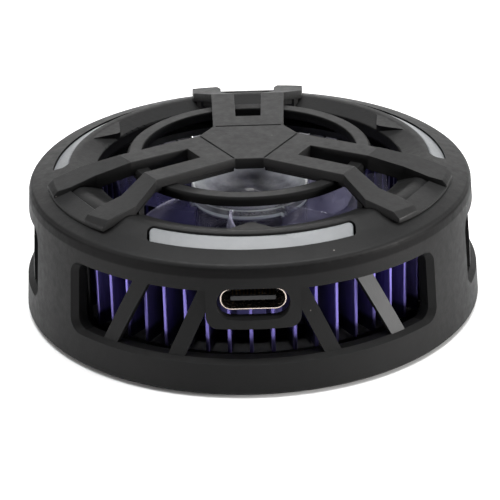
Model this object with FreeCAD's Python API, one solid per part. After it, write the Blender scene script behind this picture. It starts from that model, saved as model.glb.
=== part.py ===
import FreeCAD, Part
import math
import os
from FreeCAD import Vector

os.makedirs("parts", exist_ok=True)

# Magnetic clip-on cooler for a tablet, in millimetres.
# The origin is the centre of the underside, +Z points up to the fan guard and
# the USB socket faces -Y. Windows, light guides and guard arms repeat three
# times round the Z axis.

# ---- overall form ----------------------------------------------------------
R_BASE = 33.28          # outer radius of the side wall, carried down to z = 0
R_DRAFT = 0.0743        # radius lost per millimetre of height
Z_WALL_TOP = 18.3       # where the side wall turns into the top rim
Z_HOUSING_BOTTOM = 0.35
WALL = 2.2              # side wall thickness
R_OPEN = 22.2           # fan opening in the top rim
Z_RIM_UNDER = 18.45     # underside of the top rim
Z_OPEN_EDGE = 20.28     # top of the rim at the fan opening
Z_CREST = 21.12         # highest line of the rim

WINDOW_AZ = (270.0, 30.0, 150.0)   # windows and light guides
ARM_AZ = (90.0, 210.0, 330.0)      # guard arms and wall pillars

# ---- side windows ----------------------------------------------------------
WIN_HALF = 49.4         # half angle of a window at its inner edge
WIN_Z0, WIN_Z1 = 5.4, 15.2
WIN_GROW_A, WIN_GROW_Z0, WIN_GROW_Z1 = 1.4, 0.5, 0.3  # bevel at ends, sill, lintel
WIN_CORNER = 1.7
WIN_BEVEL = 0.85        # depth of the bevelled frame
BAR_WIDTH = 2.4
BAR_IN, BAR_OUT = 1.75, 0.8         # bar faces, measured in from the wall
BARS = ((28.7, 38.15), (11.35, 19.45))  # angle at the window's top and bottom

# ---- USB socket ------------------------------------------------------------
USB_W, USB_H, USB_WALL = 8.94, 3.2, 0.2
USB_Z = 13.94
USB_Y0, USB_Y1 = -31.0, -24.75
BLOCK_HALF = 6.4
BLOCK_Z0 = 10.1
RECESS_HALF, RECESS_Z0, RECESS_Z1, RECESS_R = 4.9, 11.7, 15.75, 1.9

# ---- light guides ----------------------------------------------------------
LG_R0, LG_R1 = 26.02, 28.46
LG_HALF = 13.8           # half width of the bar, whose ends are cut square to it
LG_GAP = 0.06
LG_END_GAP = 0.3         # gap at each end of the bar

# ---- fan guard -------------------------------------------------------------
G_TOP = 24.05
G_THICK = 1.35
G_RIB = 0.8             # depth of the rib under each bar
G_BEND = 18.1           # where the arms turn down
G_SLOPE = 0.3375        # fall per millimetre beyond the bend
G_BEND2 = 22.9          # where the foot flattens
G_SLOPE2 = 0.216
G_HEX_R, G_HEX_W = 5.24, 5.14
G_ARM_W = 5.45
G_FOOT_W0 = 8.3
G_FOOT_W1, G_FOOT_R = 8.6, 29.5
G_INSET = 0.5           # how far the underside stands back from the edge
G_TIP_Z = 20.6          # top of the foot's end wall, below its bevel
SLOT_R0, SLOT_R1 = 9.07, 26.65
SLOT_W0, SLOT_W1, SLOT_W2 = 1.84, 2.05, 4.05
CROSS_Z, CROSS_SLOPE = 21.0, 0.33   # lower bridge between the two bars of a foot
RING_RO, RING_RI, RING_TOP, RING_H = 17.6, 15.4, 22.63, 1.35
PEG_AZ, STAKE_AZ = 14.5, 23.5       # pegs of the guard, stakes of the circuit board

# ---- heatsink --------------------------------------------------------------
FIN_COUNT = 60
FIN_R0, FIN_R1 = 21.6, 28.8
FIN_T = 0.5
FIN_Z0, FIN_Z1 = 4.6, 15.95
FIN_AZ = 5.2            # azimuth of the first fin
HS_BASE_R = 24.0
HS_Z0, HS_Z1 = 4.5, 5.9

# ---- fan -------------------------------------------------------------------
BLADES = 7
HUB_R = 8.2
HUB_TOP = 17.5
BLADE_TIP = 20.4
SHAFT_R = 0.75
BEARING_BORE = 0.78

# ---- thermoelectric plate --------------------------------------------------
TEC = 23.0
COLD_R = 16.0


def r_out(z, off=0.0):
    return R_BASE - R_DRAFT * z + off


def polar(r, az, z=0.0):
    a = math.radians(az)
    return Vector(r * math.cos(a), r * math.sin(a), z)


def rot(shape, az):
    s = shape.copy()
    s.rotate(Vector(0, 0, 0), Vector(0, 0, 1), az)
    return s


def cyl(r, z0, z1, x=0.0, y=0.0):
    return Part.makeCylinder(r, z1 - z0, Vector(x, y, z0))


def tube(ro, ri, z0, z1):
    return cyl(ro, z0, z1).cut(cyl(ri, z0 - 1, z1 + 1))


def box(x0, x1, y0, y1, z0, z1):
    return Part.makeBox(x1 - x0, y1 - y0, z1 - z0, Vector(x0, y0, z0))


def prism(pts, z0, z1):
    """Vertical prism over a closed polygon of (x, y)."""
    v = [Vector(x, y, z0) for x, y in pts]
    face = Part.Face(Part.makePolygon(v + [v[0]]))
    return face.extrude(Vector(0, 0, z1 - z0))


def outward(s):
    """The same solid with its faces pointing outwards."""
    if s.Volume < 0:
        s = s.reversed()
    return s


def revolve(pts):
    """Solid of revolution about Z of a closed polygon of (r, z)."""
    v = [Vector(r, 0, z) for r, z in pts]
    face = Part.Face(Part.makePolygon(v + [v[0]]))
    return outward(face.revolve(Vector(0, 0, 0), Vector(0, 0, 1), 360))


def revolve_edges(edges):
    face = Part.Face(Part.Wire(edges))
    return outward(face.revolve(Vector(0, 0, 0), Vector(0, 0, 1), 360))


def line(a, b):
    return Part.LineSegment(Vector(a[0], 0, a[1]), Vector(b[0], 0, b[1])).toShape()


def arc(a, m, b):
    return Part.Arc(Vector(a[0], 0, a[1]), Vector(m[0], 0, m[1]), Vector(b[0], 0, b[1])).toShape()


def fuse(shapes):
    out = shapes[0]
    if len(shapes) > 1:
        out = out.fuse(shapes[1:])
    return out.removeSplitter()


def sector(r0, r1, half, z0, z1, az=0.0):
    """Ring sector of +-half degrees about azimuth az."""
    a, b = az - half, az + half
    e = [
        Part.Arc(polar(r1, a, z0), polar(r1, az, z0), polar(r1, b, z0)).toShape(),
        Part.LineSegment(polar(r1, b, z0), polar(r0, b, z0)).toShape(),
        Part.Arc(polar(r0, b, z0), polar(r0, az, z0), polar(r0, a, z0)).toShape(),
        Part.LineSegment(polar(r0, a, z0), polar(r1, a, z0)).toShape(),
    ]
    return Part.Face(Part.Wire(e)).extrude(Vector(0, 0, z1 - z0))


def arc_bar(r0, r1, half, z0, z1, az, ri, ro):
    """Curved bar with parallel ends: ri and ro are the inner and outer corner radii."""
    s = sector(r0, r1, 45.0, z0, z1, 270.0).common(box(-half, half, -r1 - 1, 0, z0, z1))
    for r, rc in ((r0, ri), (r1, ro)):
        edges = [e for e in s.Edges
                 if abs(e.Vertexes[0].Point.x - e.Vertexes[-1].Point.x) < 1e-6
                 and abs(e.Vertexes[0].Point.y - e.Vertexes[-1].Point.y) < 1e-6
                 and abs(math.hypot(e.Vertexes[0].Point.x, e.Vertexes[0].Point.y) - r) < 0.05]
        s = s.makeFillet(rc, edges)
    s.rotate(Vector(0, 0, 0), Vector(0, 0, 1), az - 270.0)
    return s


def slab(w, h, r, y0, y1, z):
    """Rounded rectangle w wide and h high, drawn along Y, centred on x = 0."""
    x, k = w / 2, h / 2
    s = box(-x, x, y0, y1, z - k, z + k)
    edges = [e for e in s.Edges
             if abs(e.Vertexes[0].Point.y - e.Vertexes[1].Point.y) > 1e-6]
    return s.makeFillet(min(r, k - 0.001), edges)


def pipe(points, radii, r):
    """Round lead along straight runs joined by tangent arcs."""
    edges = []
    here = points[0]
    for i in range(1, len(points) - 1):
        p, q, n = points[i - 1], points[i], points[i + 1]
        u = (p - q).normalize()
        v = (n - q).normalize()
        turn = math.pi - u.getAngle(v)
        t = radii[i - 1] * math.tan(turn / 2)
        a = q + u * t
        b = q + v * t
        bis = (u + v).normalize()
        c = q + bis * math.hypot(t, radii[i - 1])
        m = c - bis * radii[i - 1]
        edges.append(Part.LineSegment(here, a).toShape())
        edges.append(Part.Arc(a, m, b).toShape())
        here = b
    edges.append(Part.LineSegment(here, points[-1]).toShape())
    path = Part.Wire(edges)
    d = (points[1] - points[0]).normalize()
    prof = Part.Wire([Part.makeCircle(r, points[0], d)])
    return path.makePipeShell([prof], True, False)


def save(name, shape):
    shape.exportStep("parts/" + name + ".step")
    solids = len(shape.Solids)
    ok = all(s.isValid() for s in shape.Solids)
    print("%-26s solids %3d valid %s volume %9.2f" % (name, solids, ok, shape.Volume))


# ============================================================================
# housing shell: side wall with three windows, crowned top rim
# ============================================================================
WT = r_out(Z_WALL_TOP)
rim = [
    line((r_out(0.75), 0.75), (WT, Z_WALL_TOP)),
    arc((WT, Z_WALL_TOP), (WT - 0.28, 18.85), (31.25, 19.18)),
    line((31.25, 19.18), (28.55, 19.92)),
    line((28.55, 19.92), (26.5, 20.93)),
    arc((26.5, 20.93), (25.4, 21.2), (24.5, 21.0)),
    line((24.5, 21.0), (R_OPEN + 0.25, Z_OPEN_EDGE + 0.04)),
    arc((R_OPEN + 0.25, Z_OPEN_EDGE + 0.04), (R_OPEN + 0.06, Z_OPEN_EDGE - 0.06), (R_OPEN, Z_OPEN_EDGE - 0.26)),
    line((R_OPEN, Z_OPEN_EDGE - 0.26), (R_OPEN, Z_RIM_UNDER)),
    line((R_OPEN, Z_RIM_UNDER), (29.1, Z_RIM_UNDER)),
    line((29.1, Z_RIM_UNDER), (r_out(17.6, -WALL), 17.6)),
    line((r_out(17.6, -WALL), 17.6), (r_out(Z_HOUSING_BOTTOM, -WALL), Z_HOUSING_BOTTOM)),
    line((r_out(Z_HOUSING_BOTTOM, -WALL), Z_HOUSING_BOTTOM), (r_out(0.0) - 0.42, Z_HOUSING_BOTTOM)),
    line((r_out(0.0) - 0.42, Z_HOUSING_BOTTOM), (r_out(0.75), 0.75)),
]
shell = revolve_edges(rim)


def window_wire(off, half, z0, z1, rc, az):
    """Rounded window outline lying on the side wall's cone, moved out by off."""
    def pt(a, z):
        return polar(r_out(z, off), az + a, z)
    rm = r_out((z0 + z1) / 2, off)
    da = math.degrees(rc / rm)

    def corner(a_c, z_c, t0):
        pts = []
        for k in range(5):
            t = math.radians(t0 + 22.5 * k)
            pts.append(pt(a_c + da * math.cos(t), z_c + rc * math.sin(t)))
        c = Part.BSplineCurve()
        c.interpolate(pts)
        return c.toShape(), pts[0], pts[-1]

    br, br0, br1 = corner(half - da, z0 + rc, -90)
    tr, tr0, tr1 = corner(half - da, z1 - rc, 0)
    tl, tl0, tl1 = corner(-half + da, z1 - rc, 90)
    bl, bl0, bl1 = corner(-half + da, z0 + rc, 180)
    edges = [
        Part.Arc(bl1, pt(0, z0), br0).toShape(), br,
        Part.LineSegment(br1, tr0).toShape(), tr,
        Part.Arc(tr1, pt(0, z1), tl0).toShape(), tl,
        Part.LineSegment(tl1, bl0).toShape(), bl,
    ]
    return Part.Wire(edges)


for az in WINDOW_AZ:
    inner = window_wire(-9.0, WIN_HALF, WIN_Z0, WIN_Z1, WIN_CORNER, az)
    mid = window_wire(-WIN_BEVEL, WIN_HALF, WIN_Z0, WIN_Z1, WIN_CORNER, az)
    far = 0.3
    k = (WIN_BEVEL + far) / WIN_BEVEL
    outer = window_wire(far, WIN_HALF + WIN_GROW_A * k, WIN_Z0 - WIN_GROW_Z0 * k,
                        WIN_Z1 + WIN_GROW_Z1 * k, WIN_CORNER + 0.5, az)
    shell = shell.cut(Part.makeLoft([inner, mid], True, True))
    shell = shell.cut(Part.makeLoft([mid, outer], True, True))

# slanted bars, set back in each window
bar_skin = revolve([
    (r_out(WIN_Z0 - 1.2, -BAR_IN), WIN_Z0 - 1.2), (r_out(WIN_Z0 - 1.2, -BAR_OUT), WIN_Z0 - 1.2),
    (r_out(WIN_Z1 + 1.2, -BAR_OUT), WIN_Z1 + 1.2), (r_out(WIN_Z1 + 1.2, -BAR_IN), WIN_Z1 + 1.2)])


def slanted_bar(top, bottom, az):
    """Bar whose centre goes from angle top at the lintel to bottom at the sill."""
    z0, z1 = WIN_Z0 - 0.5, WIN_Z1 + 0.5
    k = (bottom - top) / (WIN_Z1 - WIN_Z0)
    a1 = top - k * 0.5
    a0 = bottom + k * 0.5
    r = r_out(10.7, -1.5)
    h = math.degrees(BAR_WIDTH / 2 / r)
    mid = (a0 + a1) / 2
    pts = []
    for a, z in ((a0 - h, z0), (a0 + h, z0), (a1 + h, z1), (a1 - h, z1)):
        t = math.radians(a - mid)
        pts.append(Vector(27.0, r * math.sin(t), z))
    face = Part.Face(Part.makePolygon(pts + [pts[0]]))
    s = face.extrude(Vector(8, 0, 0))
    return rot(s, az + mid)


bars = []
for az in WINDOW_AZ:
    for top, bottom in BARS:
        for sgn in (-1, 1):
            bars.append(slanted_bar(sgn * top, sgn * bottom, az).common(bar_skin))

# hood round the USB socket, flush with the side wall
hood = box(-BLOCK_HALF, BLOCK_HALF, -36, -26, BLOCK_Z0, 17.4)
hood = hood.makeFillet(1.6, [e for e in hood.Edges
                             if abs(e.Vertexes[0].Point.y - e.Vertexes[1].Point.y) > 1
                             and e.BoundBox.ZMax < BLOCK_Z0 + 0.1])
hood_skin = revolve([(31.2, 9.0), (r_out(9.0), 9.0), (r_out(17.5), 17.5), (30.9, 17.5)])
hood = hood.common(hood_skin)

# flat-topped tabs on the rim's inner slope, one at the middle of each light guide:
# blunt triangles that point at the fan
tabs = []
for az in WINDOW_AZ:
    tab = prism([(22.0, 0.0), (24.75, 3.9), (26.2, 3.9), (26.2, -3.9), (24.75, -3.9)], Z_RIM_UNDER, Z_CREST - 0.02)
    tip = [e for e in tab.Edges if e.BoundBox.XMax < 22.1 and e.BoundBox.ZLength > 1]
    tab = rot(tab.makeFillet(0.9, tip), az)
    tabs.append(tab.common(tube(26.4, R_OPEN, 18, 22)))

# screw posts in the wall pillars, and stakes that hold the circuit board
POST_R, POST_AT = 1.4, 29.7
posts, stakes = [], []
for az in ARM_AZ:
    c = polar(POST_AT, az)
    posts.append(cyl(POST_R, 1.4, Z_RIM_UNDER + 0.3, c.x, c.y))
    c = polar(25.6, az + STAKE_AZ)
    stakes.append(cyl(0.6, 16.05, Z_RIM_UNDER + 0.3, c.x, c.y))
shell = fuse([shell] + bars + [hood] + tabs + posts + stakes)

# hole in the hood for the socket, with a bevelled lip
rz = (RECESS_Z0 + RECESS_Z1) / 2
hole = slab(2 * RECESS_HALF, RECESS_Z1 - RECESS_Z0, RECESS_R, -36, -27, rz)
shell = shell.cut(hole)


def slab_wire(w, h, r, y, z):
    x, k = w / 2, h / 2
    r = min(r, k - 0.002)
    s = math.sqrt(0.5) * r
    P = lambda px, pz: Vector(px, y, pz)
    e = [
        Part.LineSegment(P(-x + r, z - k), P(x - r, z - k)).toShape(),
        Part.Arc(P(x - r, z - k), P(x - r + s, z - k + r - s), P(x, z - k + r)).toShape(),
        Part.LineSegment(P(x, z - k + r), P(x, z + k - r)).toShape(),
        Part.Arc(P(x, z + k - r), P(x - r + s, z + k - r + s), P(x - r, z + k)).toShape(),
        Part.LineSegment(P(x - r, z + k), P(-x + r, z + k)).toShape(),
        Part.Arc(P(-x + r, z + k), P(-x + r - s, z + k - r + s), P(-x, z + k - r)).toShape(),
        Part.LineSegment(P(-x, z + k - r), P(-x, z - k + r)).toShape(),
        Part.Arc(P(-x, z - k + r), P(-x + r - s, z - k + r - s), P(-x + r, z - k)).toShape(),
    ]
    return Part.Wire(e)


RW, RH = 2 * RECESS_HALF, RECESS_Z1 - RECESS_Z0
lip = Part.makeLoft([slab_wire(RW, RH, RECESS_R, -31.8, rz),
                     slab_wire(RW + 1.8, RH + 1.8, RECESS_R + 0.9, -33.6, rz)], True, True)
shell = shell.cut(lip)

# light guide slots through the rim
for az in WINDOW_AZ:
    shell = shell.cut(arc_bar(LG_R0, LG_R1, LG_HALF + LG_END_GAP, 17.0, 23.0, az, 0.8, 0.8))
# peg holes for the guard and pilot holes in the screw posts
for az in ARM_AZ:
    for d in (-PEG_AZ, PEG_AZ):
        c = polar(25.2, az + d)
        shell = shell.cut(cyl(0.85, 17.0, 23.0, c.x, c.y))
    c = polar(POST_AT, az)
    shell = shell.cut(cyl(0.55, 1.0, 8.0, c.x, c.y))
shell = shell.removeSplitter()
save("housing_shell", shell)

# ============================================================================
# fan guard: hexagonal plate, three forked arms, inner ring
# ============================================================================


def arm_outline(grow_w=0.0, foot_r=G_FOOT_R):
    """Outline of one arm in its own frame: r along the arm, w across it."""
    g = grow_w
    return [(0.0, 0.0), (G_HEX_R, G_HEX_W - g), (G_BEND, G_ARM_W - g), (G_BEND2, G_FOOT_W0 - g),
            (math.sqrt(foot_r ** 2 - (G_FOOT_W1 - g) ** 2), G_FOOT_W1 - g)]


def arm_solid(inset=0.0, z0=17.0, z1=26.0):
    """Vertical prism of one arm along +X, cut to the foot's outer arc."""
    h = arm_outline(inset)
    pts = h + [(32.0, h[-1][1])] + [(32.0, -h[-1][1])] + [(a, -b) for a, b in reversed(h[1:])]
    s = prism(pts, z0, z1)
    return s.common(cyl(G_FOOT_R - inset, z0 - 1, z1 + 1))


def slot_solid(inset=0.0, z0=16.0, z1=27.0):
    h = [(SLOT_R0 - inset, SLOT_W0 + inset), (G_BEND, SLOT_W1 + inset),
         (G_BEND2, SLOT_W2 + inset), (SLOT_R1 + inset, SLOT_W2 + 0.05 + inset)]
    pts = h + [(a, -b) for a, b in reversed(h)]
    return prism(pts, z0, z1)


def layer(top, bottom):
    """Slab that follows the arm's two bends, along +X, from top to bottom depth."""
    w = 20.0
    zt = G_TOP - top
    zb = G_TOP - bottom
    z2 = (G_BEND2 - G_BEND) * G_SLOPE
    z3 = z2 + (31.0 - G_BEND2) * G_SLOPE2
    pts = [(-12.0, zt), (G_BEND, zt), (G_BEND2, zt - z2), (31.0, zt - z3),
           (31.0, zb - z3), (G_BEND2, zb - z2), (G_BEND, zb), (-12.0, zb)]
    v = [Vector(x, -w, z) for x, z in pts]
    return Part.Face(Part.makePolygon(v + [v[0]])).extrude(Vector(0, 2 * w, 0))


# solid under the rim's top surface, to seat the feet on it
rim_true = revolve_edges([
    line((20.0, 12.0), (31.25, 12.0)), line((31.25, 12.0), (31.25, 19.18)),
    line((31.25, 19.18), (28.55, 19.92)), line((28.55, 19.92), (26.5, 20.93)),
    arc((26.5, 20.93), (25.4, 21.2), (24.5, 21.0)),
    line((24.5, 21.0), (R_OPEN + 0.25, Z_OPEN_EDGE + 0.04)),
    arc((R_OPEN + 0.25, Z_OPEN_EDGE + 0.04), (R_OPEN + 0.06, Z_OPEN_EDGE - 0.06), (R_OPEN, Z_OPEN_EDGE - 0.26)),
    line((R_OPEN, Z_OPEN_EDGE - 0.26), (R_OPEN, 17.0)), line((R_OPEN, 17.0), (20.0, 17.0)),
    line((20.0, 17.0), (20.0, 12.0))])


def guard_arm():
    """One arm along +X: bars, foot, rib under the bars, wall on the opening's edge."""
    bar = arm_solid().common(layer(0.0, G_THICK))
    # the end of the foot is bevelled
    end = revolve([(0, 15), (G_FOOT_R, 15), (G_FOOT_R, G_TIP_Z), (G_FOOT_R - 1.4, G_TIP_Z + 1.4), (G_FOOT_R - 1.4, 30), (0, 30)])
    bar = bar.common(end)
    foot = arm_solid(G_INSET).common(tube(40, R_OPEN, 15, 30)).common(layer(G_THICK - 0.3, 4.5))
    rib = arm_solid(G_INSET).common(layer(G_THICK - 0.3, G_THICK + G_RIB))
    rib = rib.common(cyl(R_OPEN + 0.6, 10, 30)).cut(cyl(6.9, 10, 30))
    wall = sector(R_OPEN, R_OPEN + 1.3, 21.3, 18.6, 24.0).common(layer(0.4, 4.5))
    wall = wall.common(arm_solid(0.1))
    s = bar.fuse([foot, rib, wall])
    s = s.cut(slot_solid())
    # lower the bridge beyond the slot
    z1 = CROSS_Z - CROSS_SLOPE * (31.0 - SLOT_R1)
    z0 = CROSS_Z + CROSS_SLOPE * 0.4
    side = [Vector(SLOT_R1 - 0.4, -9, z0), Vector(31.0, -9, z1), Vector(31.0, -9, 26), Vector(SLOT_R1 - 0.4, -9, 26)]
    drop = Part.Face(Part.makePolygon(side + [side[0]])).extrude(Vector(0, 18, 0))
    w = SLOT_W2 + 0.05
    drop = drop.common(prism([(SLOT_R1 - 0.4, w - 0.1), (30.5, w + 1.0), (30.5, -w - 1.0), (SLOT_R1 - 0.4, -w + 0.1)], 15, 28))
    return s.cut(drop)


hexa = []
for az in ARM_AZ:
    for sgn in (-1, 1):
        p = Vector(G_HEX_R, sgn * G_HEX_W, 0)
        t = math.radians(az)
        hexa.append((p.x * math.cos(t) - p.y * math.sin(t), p.x * math.sin(t) + p.y * math.cos(t)))
plate = prism(hexa, G_TOP - 1.65, G_TOP)
arm = guard_arm()
guard = plate.fuse([rot(arm, az) for az in ARM_AZ])
guard = guard.removeSplitter()

ring = revolve([(RING_RI, RING_TOP - RING_H), (RING_RO, RING_TOP - RING_H), (RING_RO, RING_TOP - 0.3),
                (RING_RO - 0.3, RING_TOP), (RING_RI + 0.12, RING_TOP), (RING_RI, RING_TOP - 0.12)])
guard = guard.fuse(ring)

# seam between the centre plate and each arm
for az in ARM_AZ:
    g = box(G_HEX_R - 0.09, G_HEX_R + 0.09, -G_HEX_W + 0.35, G_HEX_W - 0.35, G_TOP - 0.12, G_TOP + 1)
    guard = guard.cut(rot(g, az))

# seat the feet on the rim and its tabs, then add the pegs
guard = guard.cut(rim_true)
pegs = []
for az in ARM_AZ:
    for d in (-PEG_AZ, PEG_AZ):
        c = polar(25.2, az + d)
        pegs.append(cyl(0.8, Z_RIM_UNDER, 21.3, c.x, c.y))
guard = fuse([guard] + pegs)
save("fan_guard", guard)

# ============================================================================
# light guides
# ============================================================================
lg_fill = revolve([(25.0, 17.0), (30.0, 17.0), (30.0, 18.78), (25.0, 21.655)])
for name, az in (("light_guide_front", 270.0), ("light_guide_right", 30.0), ("light_guide_left", 150.0)):
    bar = arc_bar(LG_R0 + LG_GAP, LG_R1 - LG_GAP, LG_HALF, Z_RIM_UNDER - 0.2, 22.0, az, 0.55, 0.25)
    bar = bar.common(lg_fill)
    top_edges = []
    for e in bar.Edges:
        zs = [e.valueAt(e.FirstParameter + (e.LastParameter - e.FirstParameter) * f).z for f in (0.0, 0.5, 1.0)]
        if min(zs) > 19.3:
            top_edges.append(e)
    bar = bar.makeFillet(0.22, top_edges)
    foot = sector(25.5, 28.95, 28.45, 17.6, Z_RIM_UNDER, az)
    save(name, fuse([bar, foot]))

# ============================================================================
# main circuit board, LEDs, USB socket
# ============================================================================
board = tube(28.9, 22.7, 16.05, 17.05)
for az in ARM_AZ:
    c = polar(POST_AT, az)
    board = board.cut(cyl(POST_R + 0.3, 15, 18, c.x, c.y))
    c = polar(25.6, az + STAKE_AZ)
    board = board.cut(cyl(0.62, 15, 18, c.x, c.y))
save("main_circuit_board", board)

leds = []
for az in WINDOW_AZ:
    for d in (-21.0, -7.0, 7.0, 21.0):
        s = box(27.0, 27.8, -0.8, 0.8, 17.05, 17.55)
        leds.append(rot(s, az + d))
save("led_chips", Part.makeCompound(leds))

sock = slab(USB_W, USB_H, 1.6, USB_Y0, USB_Y1, USB_Z).cut(
    slab(USB_W - 2 * USB_WALL, USB_H - 2 * USB_WALL, 1.3, USB_Y0 - 1, USB_Y1 + 1, USB_Z))
save("usb_socket_shell", sock)
inner = slab(USB_W - 2 * USB_WALL, USB_H - 2 * USB_WALL, 1.3, -26.3, USB_Y1, USB_Z)
tongue = box(-3.02, 3.02, USB_Y0 + 0.22, -26.0, USB_Z - 0.3, USB_Z + 0.3)
step = box(-3.5, 3.5, -27.6, -26.0, USB_Z - 0.6, USB_Z + 0.6)
save("usb_socket_tongue", fuse([inner, tongue, step]))
pins = []
for i in range(12):
    x = (i - 5.5) * 0.5
    pins.append(box(x - 0.12, x + 0.12, USB_Y0 + 0.75, -27.6, USB_Z + 0.3, USB_Z + 0.35))
    pins.append(box(x - 0.12, x + 0.12, USB_Y0 + 0.75, -27.6, USB_Z - 0.35, USB_Z - 0.3))
save("usb_contacts", Part.makeCompound(pins))

# small parts on the board's underside, in the fan's free space
chip_boxes = []
for az, w, l in ((100.0, 2.2, 3.0), (80.0, 1.6, 2.4), (222.0, 2.0, 2.0), (198.0, 1.2, 2.0)):
    chip_boxes.append(rot(box(23.4, 23.4 + w, -l / 2, l / 2, 17.05, 17.95), az))
save("board_chips", Part.makeCompound(chip_boxes))

# ============================================================================
# heatsink: floor under the fan and a ring of radial fins
# ============================================================================
hs = cyl(HS_BASE_R, HS_Z0, HS_Z1)
fins = []
for i in range(FIN_COUNT):
    t, c = FIN_T / 2, 0.1
    f = prism([(FIN_R0, -t), (FIN_R1 - c, -t), (FIN_R1, c - t), (FIN_R1, t - c), (FIN_R1 - c, t), (FIN_R0, t)],
              FIN_Z0, FIN_Z1)
    fins.append(rot(f, FIN_AZ + 360.0 / FIN_COUNT * i))
hs = hs.fuse(fins)
hs = hs.cut(box(-5.2, 5.2, -33, -21.0, USB_Z - USB_H / 2 - 0.4, 20))
for az in ARM_AZ:
    c = polar(POST_AT, az)
    hs = hs.cut(cyl(POST_R + 0.35, 0, 20, c.x, c.y))
LEAD_AZ = 213.75
c = polar(28.0, LEAD_AZ)
hs = hs.cut(cyl(1.5, 0, 20, c.x, c.y))
HS_SCREW_R = 14.6
for az in (0.0, 90.0, 180.0, 270.0):
    c = polar(HS_SCREW_R, az)
    hs = hs.cut(cyl(0.95, 3, 8, c.x, c.y))
FAN_SCREW_R = 10.9
for az in (30.0, 150.0, 270.0):
    c = polar(FAN_SCREW_R, az)
    hs = hs.cut(cyl(0.5, HS_Z0 + 0.2, 8, c.x, c.y))
hs = hs.removeSplitter()
save("heatsink", hs)

# ============================================================================
# fan: fixed half
# ============================================================================
base = cyl(9.0, HS_Z1, 6.6)
ears = []
for az in (30.0, 150.0, 270.0):
    c = polar(FAN_SCREW_R, az)
    ears.append(cyl(1.6, HS_Z1, 6.6, c.x, c.y))
    ears.append(rot(box(6.0, FAN_SCREW_R, -1.6, 1.6, HS_Z1, 6.6), az))
base = fuse([base] + ears + [cyl(2.6, 6.6, 11.6)])
base = base.cut(cyl(1.75, 6.3, 12))
for az in (30.0, 150.0, 270.0):
    c = polar(FAN_SCREW_R, az)
    base = base.cut(cyl(0.7, 5, 8, c.x, c.y))
save("fan_base", base)

bearing = cyl(1.75, 7.0, 11.6).cut(cyl(BEARING_BORE, 6, 13))
save("fan_bearing", bearing)

fan_board = tube(7.6, 2.65, 6.6, 7.2)
save("fan_circuit_board", fan_board)

core = tube(3.5, 2.6, 8.3, 10.7)
teeth = []
for i in range(4):
    t = box(3.0, 6.0, -0.8, 0.8, 8.3, 10.7)
    shoe = sector(5.4, 6.2, 36.0, 8.3, 10.7)
    teeth.append(rot(t.fuse(shoe), 90.0 * i))
core = fuse([core] + teeth)
save("stator_core", core)

coils = []
for i in range(4):
    c = box(3.65, 5.3, -1.6, 1.6, 7.6, 11.4)
    c = c.cut(box(3.0, 6.0, -0.82, 0.82, 8.28, 10.72))
    c = c.common(tube(5.35, 3.62, 7, 12))
    coils.append(rot(c, 90.0 * i))
save("stator_coils", Part.makeCompound(coils))

# ============================================================================
# fan: rotor
# ============================================================================
save("fan_shaft", cyl(SHAFT_R, 7.15, 14.4))
save("rotor_magnet", tube(7.3, 6.6, 8.1, 11.9))
yoke = revolve([(1.3, 13.0), (7.7, 13.0), (7.7, 8.0), (7.3, 8.0), (7.3, 12.6), (1.3, 12.6)])
save("rotor_yoke", yoke)

# hub: cup over the motor, with a bowl in its top
hub = revolve([
    (SHAFT_R, 12.2), (1.3, 12.2), (1.3, 13.0), (7.7, 13.0), (7.7, 8.0), (8.0, 8.0),
    (HUB_R, 8.3), (HUB_R, 14.9), (HUB_R + 0.3, 15.15), (HUB_R + 0.42, 15.5), (HUB_R + 0.36, 16.6),
    (HUB_R + 0.25, HUB_TOP - 0.15), (HUB_R + 0.1, HUB_TOP),
    (HUB_R - 0.2, HUB_TOP), (7.0, 16.1), (5.6, 15.3), (4.0, 15.0), (1.5, 15.0), (1.2, 15.9), (0.6, 16.05),
    (0.0, 16.05), (0.0, 14.4), (SHAFT_R, 14.4)])


def blade():
    """One fan blade: sections on planes square to X, leaning back to the floor."""
    wires = []
    for x, lead, trail, zt, zb, t in ((7.6, -1.0, -21.0, 16.2, 9.8, 0.62),
                                      (11.5, 5.0, -17.0, 16.9, 8.9, 0.58),
                                      (14.5, 10.0, -13.0, 17.0, 8.6, 0.54),
                                      (17.5, 15.0, -9.0, 16.7, 8.5, 0.50),
                                      (20.9, 19.0, -3.0, 15.6, 9.2, 0.46)):
        y0 = x * math.tan(math.radians(lead))
        y1 = x * math.tan(math.radians(trail))
        n = math.hypot(zb - zt, y1 - y0)
        # half thickness, square to the section's slope
        hy, hz = (t / 2) * (zt - zb) / n, (t / 2) * (y1 - y0) / n
        left, right = [], []
        for k in range(6):
            s = k / 5.0
            y = y0 + (y1 - y0) * s
            z = zt + (zb - zt) * s
            bow = 0.9 * math.sin(math.pi * s)
            y += bow * (zt - zb) / n
            z += bow * (y1 - y0) / n
            left.append(Vector(x, y + hy, z + hz))
            right.append(Vector(x, y - hy, z - hz))
        pts = left + right[::-1]
        wires.append(Part.makePolygon(pts + [pts[0]]))
    return Part.makeLoft(wires, True, True).common(cyl(BLADE_TIP, 5.0, 20.0))


bl = blade()
blades = [rot(bl, -109.5 + 360.0 / BLADES * i) for i in range(BLADES)]
cavity = cyl(7.9, 5.0, 13.1)
blades = [b.cut(cavity) for b in blades]
impeller = fuse([hub] + blades)
save("impeller", impeller)

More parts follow.
